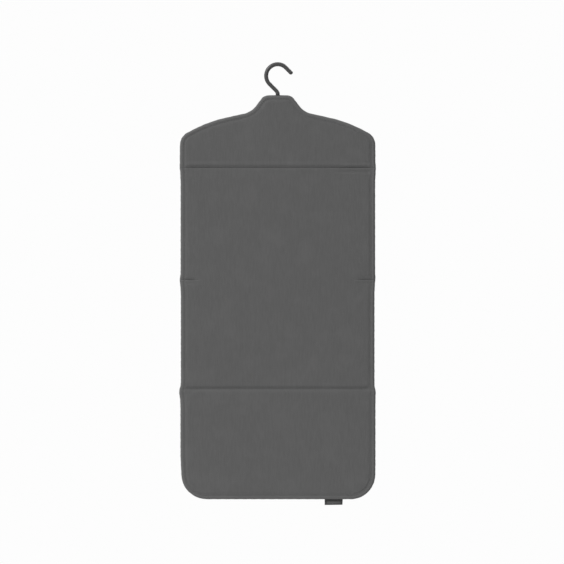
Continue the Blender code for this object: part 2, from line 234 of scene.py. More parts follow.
def straight(start, end, steps=0):
    """The points of a straight run after its start, a millimetre apart unless their number is given."""
    steps = steps or max(1, int(np.linalg.norm(end - start) / 0.001))
    return [start + (end - start) * step / steps for step in range(1, steps + 1)]


def head_path(start_z, inset):
    left = [(-x, TOP - depth, radius) for x, depth, radius in HEAD_CORNERS]
    right = [(-x, z, radius) for x, z, radius in left[::-1]]
    corners = [(-HALF_WIDTH, start_z, 0)] + left + [(0, TOP, CROWN_RADIUS)] + right
    return rounded_path(corners + [(HALF_WIDTH, start_z, 0)], inset)


def foot_path(start_z, inset):
    corners = [
        (HALF_WIDTH, start_z, 0),
        (HALF_WIDTH, BOTTOM, RIGHT_FOOT_RADIUS),
        (-HALF_WIDTH, BOTTOM, LEFT_FOOT_RADIUS),
        (-HALF_WIDTH, start_z, 0),
    ]
    return rounded_path(corners, inset)


def outward_normals(path):
    along = np.gradient(path, axis=0)
    along /= np.linalg.norm(along, axis=1)[:, None]
    return np.stack((-along[:, 1], along[:, 0]), axis=1)


def resampled(path, normals, count):
    """count + 1 stations along a path, closer together where it turns."""
    step = np.linalg.norm(np.diff(path, axis=0), axis=1)
    cosine = np.clip(np.sum(normals[1:] * normals[:-1], axis=1), -1, 1)
    along = np.concatenate(((0.0,), np.cumsum(step + TURN_WEIGHT * np.arccos(cosine))))
    wanted = np.linspace(0, along[-1], count + 1)
    at = np.stack([np.interp(wanted, along, path[:, k]) for k in (0, 1)], axis=1)
    out = np.stack([np.interp(wanted, along, normals[:, k]) for k in (0, 1)], axis=1)
    return at, out / np.linalg.norm(out, axis=1)[:, None]


def split_at(path, points):
    """Where a path comes nearest to each of these points."""
    return [int(np.argmin(np.linalg.norm(path - np.array(point), axis=1))) for point in points]


# ---------------------------------------------------------------- grids of the sections, in (x, z)
def blended_grid(bottom, top, left, right):
    """Points between four boundary curves that share their ends. bottom and top run left to right."""
    u = np.linspace(0, 1, len(bottom))[None, :, None]
    v = np.linspace(0, 1, len(left))[:, None, None]
    ends = (
        (1 - u) * (1 - v) * bottom[0] + u * (1 - v) * bottom[-1] + (1 - u) * v * top[0] + u * v * top[-1]
    )
    return (1 - v) * bottom + v * top + (1 - u) * left[:, None] + u * right[:, None] - ends


def level_line(z):
    x = np.linspace(-HALF_WIDTH + PAD_INSET, HALF_WIDTH - PAD_INSET, COLUMNS + 1)
    return np.stack((x, np.full_like(x, z)), axis=1)


def head_grid(start_z):
    path = head_path(start_z, PAD_INSET)
    normals = outward_normals(path)
    shoulder = TOP - HEAD_CORNERS[0][1]
    first, last = split_at(path, ((-HALF_WIDTH, shoulder), (HALF_WIDTH, shoulder)))
    left, left_out = resampled(path[: first + 1], normals[: first + 1], HEAD_ROWS)
    top, top_out = resampled(path[first : last + 1], normals[first : last + 1], COLUMNS)
    right, right_out = resampled(path[last:], normals[last:], HEAD_ROWS)
    grid = blended_grid(level_line(start_z), top, left, right[::-1])
    rim = [(j, 0) for j in range(HEAD_ROWS)] + [(HEAD_ROWS, i) for i in range(COLUMNS)]
    rim += [(j, COLUMNS) for j in range(HEAD_ROWS, -1, -1)]
    outward = np.concatenate((left_out[:-1], top_out[:-1], right_out))
    return grid, [(rim, outward)]


def foot_grid(start_z):
    path = foot_path(start_z, PAD_INSET)
    normals = outward_normals(path)
    first, last = split_at(path, ((HALF_WIDTH, BOTTOM), (-HALF_WIDTH, BOTTOM)))
    right, right_out = resampled(path[: first + 1], normals[: first + 1], FOOT_ROWS)
    bottom, bottom_out = resampled(path[first : last + 1], normals[first : last + 1], COLUMNS)
    left, left_out = resampled(path[last:], normals[last:], FOOT_ROWS)
    grid = blended_grid(bottom[::-1], level_line(start_z), left, right[::-1])
    rim = [(j, COLUMNS) for j in range(FOOT_ROWS, 0, -1)] + [(0, i) for i in range(COLUMNS, 0, -1)]
    rim += [(j, 0) for j in range(FOOT_ROWS + 1)]
    outward = np.concatenate((right_out[:-1], bottom_out[:-1], left_out))
    return grid, [(rim, outward)]


def level_grid(heights):
    """A grid of level rows, from the lowest up, with a rim at each side."""
    rows = len(heights)
    grid = np.stack([level_line(z) for z in heights])
    left = [(j, 0) for j in range(rows)]
    right = [(j, COLUMNS) for j in range(rows - 1, -1, -1)]
    return grid, [
        (left, np.tile((-1.0, 0.0), (rows, 1))),
        (right, np.tile((1.0, 0.0), (rows, 1))),
    ]


def board_patches(zone_rows):
    """Every patch of the board from the top down: name, grid and rims."""
    zone = sorted({-z for z in zone_rows} | set(zone_rows))
    patches = [("head", *head_grid(FOLDS[0] + FOLD_ZONE))]
    for index, name in enumerate(("upper", "middle")):
        patches.append((FOLD_NAMES[index], *level_grid([FOLDS[index] + z for z in zone])))
        low, high = FOLDS[index + 1] + FOLD_ZONE, FOLDS[index] - FOLD_ZONE
        patches.append((name, *level_grid(np.linspace(low, high, PANEL_ROWS + 1))))
    patches.append((FOLD_NAMES[2], *level_grid([FOLDS[2] + z for z in zone])))
    patches.append(("lower", *foot_grid(FOLDS[2] - FOLD_ZONE)))
    return patches


PATCHES = board_patches(ZONE_ROWS)
INNER_LOOP = np.concatenate(
    (head_path(FOLDS[1], PAD_INSET), foot_path(FOLDS[1], PAD_INSET)), axis=0
)


# ---------------------------------------------------------------- heights over the middle plane
def smoothstep(value):
    value = np.clip(value, 0, 1)
    return value * value * (3 - 2 * value)


def lobe(z, middle, above, below):
    """A bump of height 1 at z = middle, with its own width over it and under it."""
    width = np.where(z > middle, above, below)
    return np.exp(-(((z - middle) / width) ** 2))


def tuck(z, middle, above, below):
    """A fold of depth 1 that is sharp at z = middle and opens more and more gently over it."""
    over = np.exp(-np.maximum(z - middle, 0) / above)
    return np.where(z > middle, over, lobe(z, middle, above, below))


def dent(form, z, fold, values):
    """A crease of this form from a row of values: depth, place from the fold, reach above and below."""
    depth, shift, above, below = values
    return depth * form(z, fold + shift, above, below)


def pad_height(inset):
    """Height of the cover: a short slope up from the seam, a faint crest and the flat of the pad."""
    share = np.clip((inset - SEAM_INSET) / PAD_SLOPE, 0, 1)
    height, inwards, outwards = CREST
    crest = height * lobe(inset, SEAM_INSET + PAD_SLOPE, inwards, outwards)
    return SEAM_HEIGHT + (COVER_HEIGHT - SEAM_HEIGHT) * np.sin(share * math.pi / 2) + crest


def tape_press(z):
    """Share of its height that the tape keeps where the folds pinch it."""
    return 1 - sum(dent(tuck, z, fold, pinch) for fold, pinch in zip(FOLDS, TAPE_PINCHES))


def front_creases(x, z):
    """Depth of the front cloth's folds, negative where it stands proud.

    The head's cloth rolls over the sharp upper fold, and its right end is creased a second time. The
    middle fold closes backwards, so it shows only where it ends at the sides.
    """
    left_end, right_end = (
        smoothstep((way * x - start) / length)
        for way, (start, length) in ((-1, LEFT_END), (1, RIGHT_END))
    )
    sides = smoothstep((np.abs(x) - (HALF_WIDTH - MIDDLE_REACH)) / (MIDDLE_REACH * 0.6))
    upper = (1 + MORE_TUCK * right_end) * dent(tuck, z, FOLDS[0], UPPER_TUCK)
    upper += (1 + MORE_LIP * left_end) * dent(lobe, z, FOLDS[0], UPPER_LIP)
    upper += right_end * sum(dent(lobe, z, FOLDS[0], values) for values in RIGHT_CREASES)
    middle = dent(tuck, z, FOLDS[1], MIDDLE_TUCK) + dent(lobe, z, FOLDS[1], MIDDLE_HOLLOW)
    lower = dent(lobe, z, FOLDS[2], LOWER_HOLLOW) + dent(lobe, z, FOLDS[2], LOWER_RISE)
    return upper + middle * sides + lower


def back_creases(z):
    return sum(dent(lobe, z, fold, hollow) for fold, hollow in zip(FOLDS, BACK_HOLLOWS))


def creased(points, insets, side):
    """Presses the folds into a cover, which is pinched with the tape at its seam."""
    x, height, z = points[:, 0], side * points[:, 1], points[:, 2]
    depth = front_creases(x, z) if side == FRONT else back_creases(z)
    share = smoothstep((insets - SEAM_INSET) / (PAD_INSET - SEAM_INSET))
    pressed = share * (height - depth) + (1 - share) * height * tape_press(z)
    return np.stack((x, side * pressed, z), axis=1)


def side_ease(x, z):
    """How far the soft sides stand out, section by section and round each fold."""
    shoulder = TOP - HEAD_CORNERS[0][1] + 0.010
    ends = smoothstep((z - BOTTOM - LEFT_FOOT_RADIUS * 0.4) / EASE_AT_FOOT)
    ends *= smoothstep((shoulder - z) / EASE_AT_SHOULDER)
    eases = []
    for sections, puffs in ((LEFT_EASES, LEFT_PUFFS), (RIGHT_EASES, RIGHT_PUFFS)):
        out = np.full_like(z, sections[0])
        for fold, above, below, puff in zip(FOLDS, sections, sections[1:], puffs):
            out += (below - above) * smoothstep((fold + EASE_CHANGE / 2 - z) / EASE_CHANGE)
            out += dent(lobe, z, fold, (puff, *PUFF))
        eases.append(out * ends)
    left = eases[0] + dent(lobe, z, BOTTOM, LEFT_CORNER)
    return np.where(x < 0, left, eases[1]) * x / HALF_WIDTH


def placed(x, z, height, side):
    """A point of the board from its place in the outline and its height on one side."""
    return np.stack((x + side_ease(x, z), side * height, z), axis=-1)


def inner_distance(points):
    """How far points of the flat of the pad lie inside its rim, up to 30 mm."""
    nearest = np.full(len(points), 0.030)
    for start in range(0, len(INNER_LOOP), 200):
        part = INNER_LOOP[start : start + 200]
        gap = np.sqrt(((points[:, None, :] - part[None, :, :]) ** 2).sum(axis=2)).min(axis=1)
        nearest = np.minimum(nearest, gap)
    return nearest


# ---------------------------------------------------------------- making objects
def linked(name, data):
    """A new object with this data, in the scene."""
    made = bpy.data.objects.new(name, data)
    bpy.context.scene.collection.objects.link(made)
    return made


def mesh_from(name, points, faces):
    mesh = bpy.data.meshes.new(name)
    mesh.from_pydata([tuple(point) for point in points], [], [tuple(face) for face in faces])
    return mesh


def new_piece(name, points, faces, material):
    mesh = mesh_from(name, points, faces)
    mesh.update()
    mesh.materials.append(material)
    mesh.shade_smooth()
    made = linked(name, mesh)
    return made


def bar_faces(rings, sides, base=0):
    """Faces of a closed bar whose points run ring after ring from number base."""
    faces = []
    for ring in range(rings - 1):
        for k in range(sides):
            a, b = base + ring * sides + k, base + ring * sides + (k + 1) % sides
            faces.append((a, b, b + sides, a + sides))
    last = base + (rings - 1) * sides
    return faces + [tuple(range(base, base + sides))[::-1], tuple(range(last, last + sides))]


def settle_normals(made):
    shape = bmesh.new()
    shape.from_mesh(made.data)
    bmesh.ops.recalc_face_normals(shape, faces=shape.faces)
    shape.to_mesh(made.data)
    shape.free()
    made.data.set_sharp_from_angle(angle=SHARP)


def thicken(made, thickness, offset):
    """Gives a surface thickness: inwards at offset -1, to both sides at 0."""
    thick = made.modifiers.new("cloth", "SOLIDIFY")
    thick.thickness = thickness
    thick.offset = offset
    graph = bpy.context.evaluated_depsgraph_get()
    mesh = bpy.data.meshes.new_from_object(made.evaluated_get(graph))
    made.modifiers.clear()
    made.data = mesh


def follow(made, patch):
    """Makes a piece of one patch ride on its section, or fixes a fold's piece in place where it was made.
    """
    if patch in BODIES:
        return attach(made, BODIES[patch])
    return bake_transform(made)


# ---------------------------------------------------------------- materials
class Nodes:
    """A material's node tree, with short calls for the few node kinds used here."""

    def __init__(self, name, roughness, metallic=0.0, sheen=0.0, specular=0.5):
        self.material = bpy.data.materials.new(name)
        self.material.use_nodes = True
        self.tree = self.material.node_tree
        self.shader = self.tree.nodes["Principled BSDF"]
        self.shader.inputs["Roughness"].default_value = roughness
        self.shader.inputs["Metallic"].default_value = metallic
        self.shader.inputs["Specular IOR Level"].default_value = specular
        self.shader.inputs["Sheen Weight"].default_value = sheen
        self.shader.inputs["Sheen Roughness"].default_value = 0.5

    def add(self, kind, **values):
        node = self.tree.nodes.new(kind)
        for key, value in values.items():
            setattr(node, key, value)
        return node

    def link(self, source, target):
        if isinstance(source, (int, float)):
            target.default_value = source
        else:
            self.tree.links.new(source, target)

    def math(self, operation, first, second=0.0, third=0.0):
        node = self.add("ShaderNodeMath", operation=operation)
        for value, socket in zip((first, second, third), node.inputs):
            self.link(value, socket)
        return node.outputs[0]

    def coordinates(self):
        split = self.add("ShaderNodeSeparateXYZ")
        self.link(self.add("ShaderNodeTexCoord").outputs["Object"], split.inputs[0])
        return split.outputs

    def noise(self, scale, detail=2.0, stretch=(1, 1, 1)):
        """A noise in object space, from 0 to 1. scale is in features a metre."""
        mapping = self.add("ShaderNodeMapping")
        mapping.inputs["Scale"].default_value = stretch
        self.link(self.add("ShaderNodeTexCoord").outputs["Object"], mapping.inputs["Vector"])
        node = self.add("ShaderNodeTexNoise")
        node.inputs["Scale"].default_value = scale
        node.inputs["Detail"].default_value = detail
        self.link(mapping.outputs[0], node.inputs["Vector"])
        return node.outputs["Fac"]

    def wave(self, coordinate, pitch, shift=0.0):
        """A sine of one coordinate, from -1 to 1, with this pitch in metres."""
        angle = self.math("MULTIPLY_ADD", coordinate, 2 * math.pi / pitch, shift)
        return self.math("SINE", angle)

    def ramp(self, value, *stops):
        node = self.add("ShaderNodeValToRGB")
        elements = node.color_ramp.elements
        while len(elements) < len(stops):
            elements.new(0.5)
        for element, (position, colour) in zip(elements, stops):
            element.position = position
            element.color = (*colour, 1.0)
        self.link(value, node.inputs["Fac"])
        return node.outputs["Color"]

    def colour(self, value):
        self.link(value, self.shader.inputs["Base Color"])

    def bump(self, height, distance, strength=1.0):
        node = self.add("ShaderNodeBump")
        node.inputs["Strength"].default_value = strength
        node.inputs["Distance"].default_value = distance
        self.link(height, node.inputs["Height"])
        self.link(node.outputs["Normal"], self.shader.inputs["Normal"])


def grey(level):
    return (level, level, level)


RUBBED_REACH = 0.0045


def rubbed(made, z):
    """From 0 to 1 where handling has rubbed the nap: patchy, and along the folds."""
    patches = made.math("SUBTRACT", made.noise(22, 3.0), 0.5)
    worn = made.math("MAXIMUM", patches, 0.0)
    for fold in (FOLDS[0], FOLDS[2]):
        away = made.math("DIVIDE", made.math("ABSOLUTE", made.math("SUBTRACT", z, fold)), RUBBED_REACH)
        near = made.math("MAXIMUM", made.math("SUBTRACT", 1.0, away), 0.0)
        worn = made.math("MULTIPLY_ADD", near, made.math("MULTIPLY", made.noise(90, 2.0), 0.3), worn)
    return worn


# The direction in which a cloth's thick and thin places are drawn out, as a stretch of their noise
UPRIGHT = (1, 1, 0.12)
ACROSS = (0.12, 1, 1)


def woven(name, level, pitch, relief, heather, slub=UPRIGHT):
    """Plain weave of warp and weft yarns, in relief and in slightly uneven yarn colour, with a painted
    highlight on the raised yarn crossings, rubbed a little.

    heather is how far the colour strays from its level.
    """
    made = Nodes(name, 0.88, sheen=0.12, specular=0.25)
    x, y, z = made.coordinates()
    jitter = made.math("MULTIPLY", made.noise(260, 1.0), 1.6)
    warp = made.wave(made.math("ADD", x, y), pitch, jitter)
    weft = made.wave(z, pitch, jitter)
    cross = made.math("MULTIPLY", warp, weft)
    ribs = made.math("ADD", made.math("ABSOLUTE", warp), made.math("ABSOLUTE", weft))
    height = made.math("MULTIPLY_ADD", cross, 0.6, made.math("MULTIPLY", ribs, 0.35))
    slubs = made.noise(420, 2.0, slub)
    height = made.math("MULTIPLY_ADD", slubs, 0.5, height)
    made.bump(height, relief, 0.6)
    tone = made.math("MULTIPLY_ADD", made.noise(7, 3.0), 0.25, made.math("MULTIPLY", slubs, 0.75))
    # Painted highlight: the colour follows the weave's relief and is lighter where the yarns cross high
    tone = made.math("MULTIPLY_ADD", cross, 0.16, tone)
    tone = made.math("ADD", tone, rubbed(made, z))
    dark, light = grey(level * (1 - heather)), grey(level * (1 + heather))
    made.colour(made.ramp(tone, (0.25, dark), (0.75, light)))
    return made.material


FRONT_CLOTH = woven("front_weave", 0.0925, pitch=0.0011, relief=0.00016, heather=0.08)
BACK_CLOTH = woven("back_weave", 0.087, pitch=0.0009, relief=0.00012, heather=0.07)
TAPE_CLOTH = woven("tape_weave", 0.100, pitch=0.0008, relief=0.00014, heather=0.08, slub=ACROSS)


def thread_material():
    made = Nodes("thread", 0.6, sheen=0.2, specular=0.4)
    made.colour(made.ramp(made.noise(900, 1.0), (0.3, grey(0.074)), (0.7, grey(0.096))))
    made.bump(made.noise(2600, 1.0), 0.00008, 0.5)
    return made.material


def soft_plastic():
    made = Nodes("soft_sleeve", 0.46, specular=0.45)
    made.colour(made.ramp(made.noise(60, 3.0), (0.3, grey(0.043)), (0.7, grey(0.050))))
    made.bump(made.noise(2200, 2.0), 0.00004, 0.35)
    return made.material


# The label's plain lighter field: half its width and height, and its middle's height over the lower end
FIELD_HALF = (0.0150, 0.0030)
FIELD_HEIGHT = 0.0062


def label_material():
    made = Nodes("label_weave", 0.75, sheen=0.2, specular=0.3)
    x, _, z = made.coordinates()
    middle = ((LABEL_BOX[0][0] + LABEL_BOX[1][0]) / 2, LABEL_BOX[0][2] + FIELD_HEIGHT)
    within = []
    for coordinate, centre, half in zip((x, z), middle, FIELD_HALF):
        away = made.math("ABSOLUTE", made.math("SUBTRACT", coordinate, centre))
        within.append(made.math("LESS_THAN", away, half))
    field = made.math("MULTIPLY", *within)
    tone = made.math("MULTIPLY_ADD", made.noise(700, 2.0), 0.25, made.math("MULTIPLY", field, 0.6))
    made.colour(made.ramp(tone, (0.05, grey(0.036)), (0.85, grey(0.095))))
    made.bump(made.math("MULTIPLY", made.wave(x, 0.0006), made.wave(z, 0.0006)), 0.00008, 0.6)
    return made.material


THREAD = thread_material()
SLEEVE = soft_plastic()
LABEL = label_material()


# ---------------------------------------------------------------- covers
def patch_points(grid, rims):
    """Places and insets of a patch's points, its faces, and for each rim the indices of its rings."""
    rows, columns = grid.shape[:2]
    places = [grid.reshape(-1, 2)]
    insets = [PAD_INSET + inner_distance(grid.reshape(-1, 2))]
    index = np.arange(rows * columns).reshape(rows, columns)
    faces = [
        (index[j, i], index[j, i + 1], index[j + 1, i + 1], index[j + 1, i])
        for j in range(rows - 1)
        for i in range(columns - 1)
    ]
    count = rows * columns
    for rim, outward in rims:
        inner = [index[j, i] for j, i in rim]
        at = np.array([grid[j, i] for j, i in rim])
        for inset in RIM_INSETS:
            ring = list(range(count, count + len(rim)))
            places.append(at + outward * (PAD_INSET - inset))
            insets.append(np.full(len(rim), inset))
            faces += [
                (inner[k], inner[k + 1], ring[k + 1], ring[k]) for k in range(len(rim) - 1)
            ]
            inner = ring
            count += len(rim)
    return np.concatenate(places), np.concatenate(insets), faces


def cover_points(places, insets, side):
    return placed(places[:, 0], places[:, 1], pad_height(insets), side)


def welded(patches, side):
    """All patches of one side as one surface.

    The result is its points, their insets, each patch's faces, and the point that each patch's point
    became.
    """
    points, insets, faces_of, count = [], [], {}, 0
    for name, grid, rims in patches:
        places, patch_insets, faces = patch_points(grid, rims)
        points.append(cover_points(places, patch_insets, side))
        insets.append(patch_insets)
        faces_of[name] = np.array(faces) + count
        count += len(places)
    points, insets = np.concatenate(points), np.concatenate(insets)
    _, first, merged = np.unique(
        np.round(points / 1e-6).astype(np.int64), axis=0, return_index=True, return_inverse=True
    )
    merged = merged.reshape(-1)
    faces_of = {name: merged[faces] for name, faces in faces_of.items()}
    return points[first], insets[first], faces_of, merged


def make_covers(side, material, word):
    points, insets, faces_of, merged = welded(PATCHES, side)
    swelling = np.zeros_like(points)
    swelling[merged] = swollen(side)
    points = points + swelling
    points = creased(points, insets, side)
    made = {}
    for name, faces in faces_of.items():
        if side == BACK:
            faces = faces[:, ::-1]
        used, local = np.unique(faces, return_inverse=True)
        piece = new_piece(f"{name}_{word}", points[used], local.reshape(faces.shape), material)
        thicken(piece, CLOTH, -1.0)
        piece.data.set_sharp_from_angle(angle=SHARP)
        made[name] = piece
    return made


def along_rows(values, heights, wanted):
    """values, one row for each of the rising heights, read off smoothly at other heights."""
    slopes = np.gradient(values, heights, axis=0)
    k = np.clip(np.searchsorted(heights, wanted) - 1, 0, len(heights) - 2)
    shape = (-1,) + (1,) * (values.ndim - 1)
    step = (heights[k + 1] - heights[k]).reshape(shape)
    t = ((wanted - heights[k]).reshape(shape)) / step
    return (
        values[k] * (2 * t**3 - 3 * t**2 + 1)
        + slopes[k] * step * (t**3 - 2 * t**2 + t)
        + values[k + 1] * (3 * t**2 - 2 * t**3)
        + slopes[k + 1] * step * (t**3 - t**2)
    )


def swollen(side):
    """How far each point of PATCHES moves as the cloth swells over its padding, patch after patch.

    The simulated cloth has evenly spaced rows at the folds too, so that its weight is even.
    """
    patches = board_patches(EVEN_ZONE_ROWS)
    points, insets, faces_of, merged = welded(patches, side)
    moved = simulated(points, insets, np.concatenate(list(faces_of.values())), side)[merged]
    result, start = [], 0
    for (_, even, rims), (_, grid, _) in zip(patches, PATCHES):
        count = even.shape[0] * even.shape[1] + len(RIM_INSETS) * sum(len(rim) for rim, _ in rims)
        part = moved[start : start + count]
        start += count
        if even.shape != grid.shape:
            part = spread_rows(part, even, grid)
        result.append(part)
    return np.concatenate(result)


def spread_rows(part, even, grid):
    """Values at a level patch's even rows, read off at the rows of the finer patch."""
    rows, columns = even.shape[:2]
    heights, wanted = even[:, 0, 1], grid[:, 0, 1]
    inside = part[: rows * columns].reshape(rows, columns, 3)
    result = [along_rows(inside, heights, wanted).reshape(-1, 3)]
    rings = part[rows * columns :].reshape(2, len(RIM_INSETS), rows, 3)
    for way, rim_rings in zip((1, -1), rings):
        for ring in rim_rings:
            result.append(along_rows(ring[::way], heights, wanted)[::way])
    return np.concatenate(result)


def simulated(points, insets, faces, side):
    """Cloth simulation of a cover, sewn down at its rim and stitched folds, with air pressure behind it."""
    if side == BACK:
        faces = faces[:, ::-1]
    swelling = linked("swelling", mesh_from("swelling", points, faces))
    pins = swelling.vertex_groups.new(name="seams")
    sewn = insets < SEWN_INSET
    for fold in (FOLDS[0], FOLDS[2]) if side == FRONT else (FOLDS[1],):
        sewn |= np.abs(points[:, 2] - fold) < 0.001
    pins.add([int(index) for index in np.flatnonzero(sewn)], 1.0, "REPLACE")
    cloth = swelling.modifiers.new("swell", "CLOTH")
    settings = cloth.settings
    settings.quality = 4
    settings.mass = CLOTH_MASS
    settings.tension_stiffness = settings.compression_stiffness = 12
    settings.shear_stiffness = 6
    settings.bending_stiffness = 0.6
    settings.use_pressure = True
    settings.uniform_pressure_force = SWELL_PRESSURE
    settings.shrink_min = -SWELL_SLACK
    settings.vertex_group_mass = pins.name
    settings.effector_weights.gravity = 0
    cloth.point_cache.frame_start = 1
    cloth.point_cache.frame_end = SWELL_FRAMES
    for frame_number in range(1, SWELL_FRAMES + 1):
        bpy.context.scene.frame_set(frame_number)
    settled = swelling.evaluated_get(bpy.context.evaluated_depsgraph_get()).data
    moved = np.empty(len(points) * 3, np.float32)
    settled.vertices.foreach_get("co", moved)
    moved = moved.reshape(-1, 3).astype(float) - points
    bpy.data.objects.remove(swelling)
    bpy.context.scene.frame_set(1)
    length = np.linalg.norm(moved, axis=1)
    cap = SWELL_CAPS[side]
    keep = cap * np.tanh(length / cap) / np.maximum(length, 1e-9)
    return moved * keep[:, None]


front_pieces = make_covers(FRONT, FRONT_CLOTH, "front_cloth")
back_pieces = make_covers(BACK, BACK_CLOTH, "back_cloth")


# ---------------------------------------------------------------- edge tape and stitching
# The tape's section, as (inset, height) points from its inner edge to the rim, outside and inside
TAPE_OUTER = (
    (0.00990, 0.00430),
    (0.00985, 0.00462),
    (0.00955, 0.00478),
    (0.00900, 0.00472),
    (0.00860, 0.00452),
    (0.00830, 0.00446),
    (0.00800, 0.00454),
    (0.00740, 0.00478),
    (0.00650, 0.00494),
    (0.00540, 0.00500),
    (0.00430, 0.00496),
    (0.00335, 0.00476),
    (0.00240, 0.00432),
    (0.00155, 0.00360),
    (0.00085, 0.00265),
    (0.00030, 0.00135),
)
TAPE_INNER = (
    (0.00980, 0.00365),
    (0.00810, 0.00372),
    (0.00630, 0.00400),
    (0.00430, 0.00396),
    (0.00290, 0.00340),
    (0.00180, 0.00240),
    (0.00115, 0.00110),
)


def tape_section():
    """The tape's closed section as (inset, height) points, round the edge and back inside."""
    outer = list(TAPE_OUTER) + [(0.0, 0.0)] + [(inset, -height) for inset, height in TAPE_OUTER[::-1]]
    inner = [(inset, -height) for inset, height in TAPE_INNER] + [(0.0010, 0.0)]
    return outer + inner + list(TAPE_INNER[::-1])


def rim_stations(grid, rim, outward):
    """Places along the outline and their outward directions, closer together than the rim's points."""
    edge = np.array([grid[j, i] for j, i in rim]) + outward * PAD_INSET
    given = np.arange(len(rim), dtype=float)
    wanted = np.linspace(0, len(rim) - 1, (len(rim) - 1) * TAPE_STEPS + 1)
    out = along_rows(outward, given, wanted)
    return along_rows(edge, given, wanted), out / np.linalg.norm(out, axis=1)[:, None]


def edge_ripple(at):
    """Small unevenness of the sewn edge."""
    return 0.00012 * np.sin(at[:, 0] * 310 + at[:, 1] * 270) + 0.0001 * np.sin(at[:, 1] * 620 + 1.3)


def make_tape(name, grid, rim, outward):
    edge, out = rim_stations(grid, rim, outward)
    section = tape_section()
    ripple = edge_ripple(edge)
    press = tape_press(edge[:, 1])
    rings = []
    for inset, height in section:
        keep = 1 - inset / TAPE_WIDTH
        at = edge + out * (ripple * keep - inset)[:, None]
        rings.append(placed(at[:, 0], at[:, 1], height * press, FRONT))
    points = np.stack(rings, axis=1).reshape(-1, 3)
    faces = bar_faces(len(edge), len(section))
    made = new_piece(name, points, faces, TAPE_CLOTH)
    settle_normals(made)
    return made


STITCH_PITCH = 0.0036
STITCH_LENGTH = 0.0027
STITCH_RADIUS = 0.00025
STITCH_SIDES = 6
# Along a stitch: share of its length, then its thickness and its rise as shares of its radius
STITCH_SHAPE = ((0.0, 0.35, -0.9), (0.12, 0.85, 0.1), (0.5, 1.0, 0.5), (0.88, 0.85, 0.1), (1.0, 0.35, -0.9))


def stitch_row(at, up):
    """Stitches along a line of (x, y, z) points: slim spindles that dip into the cloth at both ends."""
    step = np.linalg.norm(np.diff(at, axis=0), axis=1)
    along = np.concatenate(((0.0,), np.cumsum(step)))
    count = max(1, int(along[-1] / STITCH_PITCH))
    starts = (np.arange(count) + 0.5) * along[-1] / count - STITCH_LENGTH / 2
    points, faces = [], []
    for start in starts:
        base = len(points)
        for share, width, lift in STITCH_SHAPE:
            s = start + share * STITCH_LENGTH
            behind, centre, ahead = (
                np.array([np.interp(s + step, along, at[:, k]) for k in range(3)])
                for step in (-1e-4, 0, 1e-4)
            )
            across = unit(np.cross(unit(ahead - behind), up))
            for m in range(STITCH_SIDES):
                angle = 2 * math.pi * m / STITCH_SIDES
                round_it = across * math.cos(angle) + up * math.sin(angle)
                points.append(centre + (up * lift + round_it * width) * STITCH_RADIUS)
        faces += bar_faces(len(STITCH_SHAPE), STITCH_SIDES, base)
    return points, faces


def make_stitching(name, lines):
    """One piece of all stitches along several lines, each (points, up)."""
    points, faces = [], []
    for at, up in lines:
        row, row_faces = stitch_row(at, np.array(up, float))
        faces += [tuple(index + len(points) for index in face) for face in row_faces]
        points += row
    made = new_piece(name, points, faces, THREAD)
    settle_normals(made)
    return made


def rim_stitch_line(grid, rim, outward, side):
    edge, out = rim_stations(grid, rim, outward)
    at = edge - out * STITCH_INSET
    height = STITCH_HEIGHT * tape_press(edge[:, 1])
    return placed(at[:, 0], at[:, 1], height, side), (0, side, 0)


def make_edges():
    """Makes every patch's tapes and stitching. The result is each patch's tapes."""
    tapes = {}
    for name, grid, rims in PATCHES:
        words = ("",) if len(rims) == 1 else ("_left", "_right")
        lines = []
        for word, (rim, outward) in zip(words, rims):
            tape = make_tape(f"{name}_edge_tape{word}", grid, rim, outward)
            follow(tape, name)
            tapes.setdefault(name, []).append(tape)
            for side in (FRONT, BACK):
                lines.append(rim_stitch_line(grid, rim, outward, side))
        if name in SEWN_SIDES:
            lines.append(crease_stitch_line(name, SEWN_SIDES[name]))
        follow(make_stitching(f"{name}_stitching", lines), name)
    return tapes


def crease_stitch_line(name, side):
    """The row of stitches that sews the two covers together along a fold."""
    flat = level_line(FOLDS[FOLD_NAMES.index(name)])
    insets = PAD_INSET + inner_distance(flat)
    at = creased(cover_points(flat, insets, side), insets, side)
    return at, (0, side, 0)


edge_pieces = make_edges()


def declare_sheet(grid, rims):
    """Works out the points and faces of a patch's cloth, and makes no further use of them."""
    places, _, faces = patch_points(grid, rims)


def finish_covers():
    """Sets each cover on its body, or fixes it in place at a fold, and hides the CAD nodes that it and its
    tapes replace.
    """
    for patch, grid, rims in PATCHES:
        front, back, tapes = front_pieces[patch], back_pieces[patch], edge_pieces[patch]
        follow(front, patch)
        follow(back, patch)
        if patch in BODIES:
            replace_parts(front, f"{patch}_front_cover", f"{patch}_padding")
            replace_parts(back, f"{patch}_back_cover")
            declare_sheet(grid, rims)
        else:
            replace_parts(front, f"{patch}_strip")
            declare_sheet(grid, rims)
            declare_sheet(grid, rims)
    for patch in ("head", "lower"):
        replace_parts(edge_pieces[patch][0], f"{patch}_edge_binding")
    for patch in ("upper", "middle"):
        for piece, word in zip(edge_pieces[patch], ("left", "right")):
            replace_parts(piece, f"{patch}_binding_{word}")


finish_covers()


# ---------------------------------------------------------------- hook
# Radius of the bend's centre line, length of its straight tip, and radius of the turn into the neck
HOOK_BEND = 0.0261
HOOK_TIP = 0.0158
HOOK_FILLET = 0.012
SLEEVE_SINK = 0.0012
SLEEVE_SIDES = 40
DOME_STEPS = 9
# The sleeve's hem, from the last full ring down: height over its end, share of its radius
HEM = ((0.0030, 1.0), (0.0012, 0.995), (0.0005, 0.97), (0.0, 0.90))


def arc(centre, radius, start, end, count):
    """Points of an arc between two angles in degrees."""
    return [
        centre + radius * np.array((math.cos(math.radians(a)), math.sin(math.radians(a))))
        for a in np.linspace(start, end, count)
    ]


